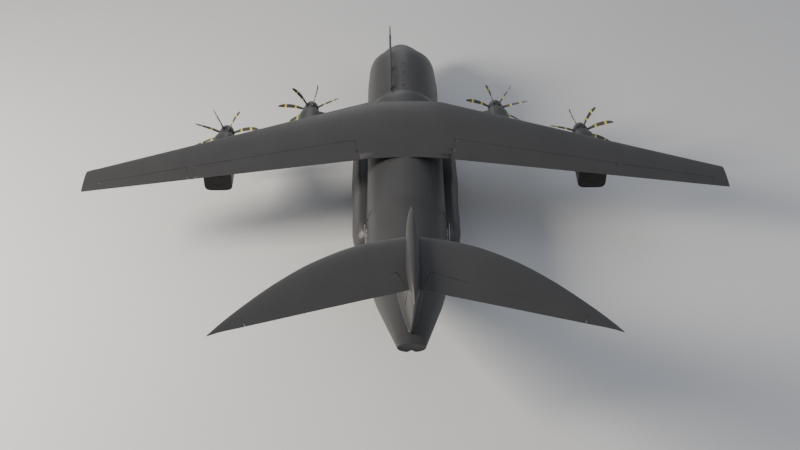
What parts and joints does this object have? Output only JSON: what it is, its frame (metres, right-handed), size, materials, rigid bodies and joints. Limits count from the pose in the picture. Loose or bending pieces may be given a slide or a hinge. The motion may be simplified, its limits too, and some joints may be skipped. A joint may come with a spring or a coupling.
{
  "type": "military transport plane, 1:2 scale model",
  "caption": "High-wing turboprop military transport aircraft with a T tail, wing-mounted propellers, a rear cargo ramp and side fairings for the main gear, as a 1:2 scale model.",
  "frame": {"origin": "centre of the bounding box in plan, on the ground under the tyres", "axes": "nose towards -Y, port side +X, up +Z"},
  "size_m": [21.2, 22.45, 7.1],
  "materials": {
    "grey_paint": "satin",
    "nacelle_paint": "satin",
    "radome_paint": "matt",
    "blade_composite": "satin",
    "tyre_rubber": "matt",
    "gear_steel": "satin",
    "window_glass": "polished",
    "deck_metal": "matt"
  },
  "bodies": {
    "airframe": {"radome": "radome_paint", "cockpit_section": "grey_paint", "forward_fuselage": "grey_paint", "centre_fuselage": "grey_paint", "rear_fuselage": "grey_paint", "tail_cone": "grey_paint", "cockpit_glass": "window_glass", "cargo_floor": "deck_metal", "flight_deck": "deck_metal", "paratroop_door_left": "grey_paint", "paratroop_door_right": "grey_paint", "wing": "grey_paint", "wing_fairing": "grey_paint", "nacelle_inner_left": "nacelle_paint", "nacelle_inner_right": "nacelle_paint", "nacelle_outer_left": "nacelle_paint", "nacelle_outer_right": "nacelle_paint", "fin": "grey_paint", "tailplane": "grey_paint", "sponson_left": "grey_paint", "sponson_right": "grey_paint", "main_gear_left": "gear_steel", "main_gear_right": "gear_steel", "nose_gear_leg": "gear_steel", "nose_gear_door_left": "grey_paint", "nose_gear_door_right": "grey_paint", "refuelling_probe": "grey_paint"},
    "propeller_inner_left": {"propeller_inner_left": "blade_composite"},
    "propeller_inner_right": {"propeller_inner_right": "blade_composite"},
    "propeller_outer_left": {"propeller_outer_left": "blade_composite"},
    "propeller_outer_right": {"propeller_outer_right": "blade_composite"},
    "main_wheels_left_1": {"main_wheels_left_1": "tyre_rubber"},
    "main_wheels_left_2": {"main_wheels_left_2": "tyre_rubber"},
    "main_wheels_left_3": {"main_wheels_left_3": "tyre_rubber"},
    "main_wheels_right_1": {"main_wheels_right_1": "tyre_rubber"},
    "main_wheels_right_2": {"main_wheels_right_2": "tyre_rubber"},
    "main_wheels_right_3": {"main_wheels_right_3": "tyre_rubber"},
    "nose_gear_fork": {"nose_gear_fork": "gear_steel"},
    "nose_wheels": {"nose_wheels": "tyre_rubber"},
    "flap_left": {"flap_left": "grey_paint"},
    "flap_right": {"flap_right": "grey_paint"},
    "aileron_left": {"aileron_left": "grey_paint"},
    "aileron_right": {"aileron_right": "grey_paint"},
    "elevator_left": {"elevator_left": "grey_paint"},
    "elevator_right": {"elevator_right": "grey_paint"},
    "rudder": {"rudder": "grey_paint"},
    "cargo_ramp": {"cargo_ramp": "grey_paint"},
    "cargo_door": {"cargo_door": "grey_paint"},
    "crew_door": {"crew_door": "grey_paint"}
  },
  "joints": [
    {"name": "propeller_inner_left_spin", "type": "hinge", "parent": "airframe", "child": "propeller_inner_left", "pos_m": [3.4, -5.04, 2.43], "axis": [0, -1, 0], "continuous": true},
    {"name": "propeller_inner_right_spin", "type": "hinge", "parent": "airframe", "child": "propeller_inner_right", "pos_m": [-3.4, -5.04, 2.43], "axis": [0, -1, 0], "continuous": true},
    {"name": "propeller_outer_left_spin", "type": "hinge", "parent": "airframe", "child": "propeller_outer_left", "pos_m": [6.4, -3.815, 2.21], "axis": [0, -1, 0], "continuous": true},
    {"name": "propeller_outer_right_spin", "type": "hinge", "parent": "airframe", "child": "propeller_outer_right", "pos_m": [-6.4, -3.815, 2.21], "axis": [0, -1, 0], "continuous": true},
    {"name": "main_wheels_left_1_roll", "type": "hinge", "parent": "airframe", "child": "main_wheels_left_1", "pos_m": [1.38, -1.875, 0.30618], "axis": [1, 0, 0], "continuous": true},
    {"name": "main_wheels_left_2_roll", "type": "hinge", "parent": "airframe", "child": "main_wheels_left_2", "pos_m": [1.38, -1.075, 0.30618], "axis": [1, 0, 0], "continuous": true},
    {"name": "main_wheels_left_3_roll", "type": "hinge", "parent": "airframe", "child": "main_wheels_left_3", "pos_m": [1.38, -0.275, 0.30618], "axis": [1, 0, 0], "continuous": true},
    {"name": "main_wheels_right_1_roll", "type": "hinge", "parent": "airframe", "child": "main_wheels_right_1", "pos_m": [-1.38, -1.875, 0.30618], "axis": [1, 0, 0], "continuous": true},
    {"name": "main_wheels_right_2_roll", "type": "hinge", "parent": "airframe", "child": "main_wheels_right_2", "pos_m": [-1.38, -1.075, 0.30618], "axis": [1, 0, 0], "continuous": true},
    {"name": "main_wheels_right_3_roll", "type": "hinge", "parent": "airframe", "child": "main_wheels_right_3", "pos_m": [-1.38, -0.275, 0.30618], "axis": [1, 0, 0], "continuous": true},
    {"name": "nose_steering", "type": "hinge", "parent": "airframe", "child": "nose_gear_fork", "pos_m": [0, -8.775, 0.5], "axis": [0, 0, 1], "range_deg": [-60, 60]},
    {"name": "nose_wheels_roll", "type": "hinge", "parent": "nose_gear_fork", "child": "nose_wheels", "pos_m": [0, -8.775, 0.23705], "axis": [1, 0, 0], "continuous": true},
    {"name": "flap_left_hinge", "type": "hinge", "parent": "airframe", "child": "flap_left", "pos_m": [1.7, -1.55702, 3.33712], "axis": [-0.9788, -0.2014, 0.0373], "range_deg": [0, 38]},
    {"name": "flap_right_hinge", "type": "hinge", "parent": "airframe", "child": "flap_right", "pos_m": [-1.7, -1.55702, 3.33712], "axis": [-0.9788, 0.2014, -0.0373], "range_deg": [0, 38]},
    {"name": "aileron_left_hinge", "type": "hinge", "parent": "airframe", "child": "aileron_left", "pos_m": [7.275, -0.41006, 3.12457], "axis": [0.9788, 0.2014, -0.0373], "range_deg": [-25, 25]},
    {"name": "aileron_right_hinge", "type": "hinge", "parent": "airframe", "child": "aileron_right", "pos_m": [-7.275, -0.41006, 3.12457], "axis": [-0.9788, 0.2014, -0.0373], "range_deg": [-25, 25]},
    {"name": "elevator_left_hinge", "type": "hinge", "parent": "airframe", "child": "elevator_left", "pos_m": [0.4, 9.15, 6.75], "axis": [0.92, 0.3919, 0], "range_deg": [-15, 28]},
    {"name": "elevator_right_hinge", "type": "hinge", "parent": "airframe", "child": "elevator_right", "pos_m": [-0.4, 9.15, 6.75], "axis": [0.92, -0.3919, 0], "range_deg": [-15, 28]},
    {"name": "rudder_hinge", "type": "hinge", "parent": "airframe", "child": "rudder", "pos_m": [0, 6.91751, 3.67], "axis": [0, 0.5951, 0.8036], "range_deg": [-28, 28]},
    {"name": "cargo_ramp_hinge", "type": "hinge", "parent": "airframe", "child": "cargo_ramp", "pos_m": [0, 2.485, 0.81], "axis": [-1, 0, 0], "range_deg": [0, 36]},
    {"name": "cargo_door_hinge", "type": "hinge", "parent": "airframe", "child": "cargo_door", "pos_m": [0, 6.22, 2.32], "axis": [-1, 0, 0], "range_deg": [0, 34]},
    {"name": "crew_door_hinge", "type": "hinge", "parent": "airframe", "child": "crew_door", "pos_m": [1.06303, -7.245, 1.235], "axis": [0, 1, 0], "range_deg": [0, 125]}
  ]
}
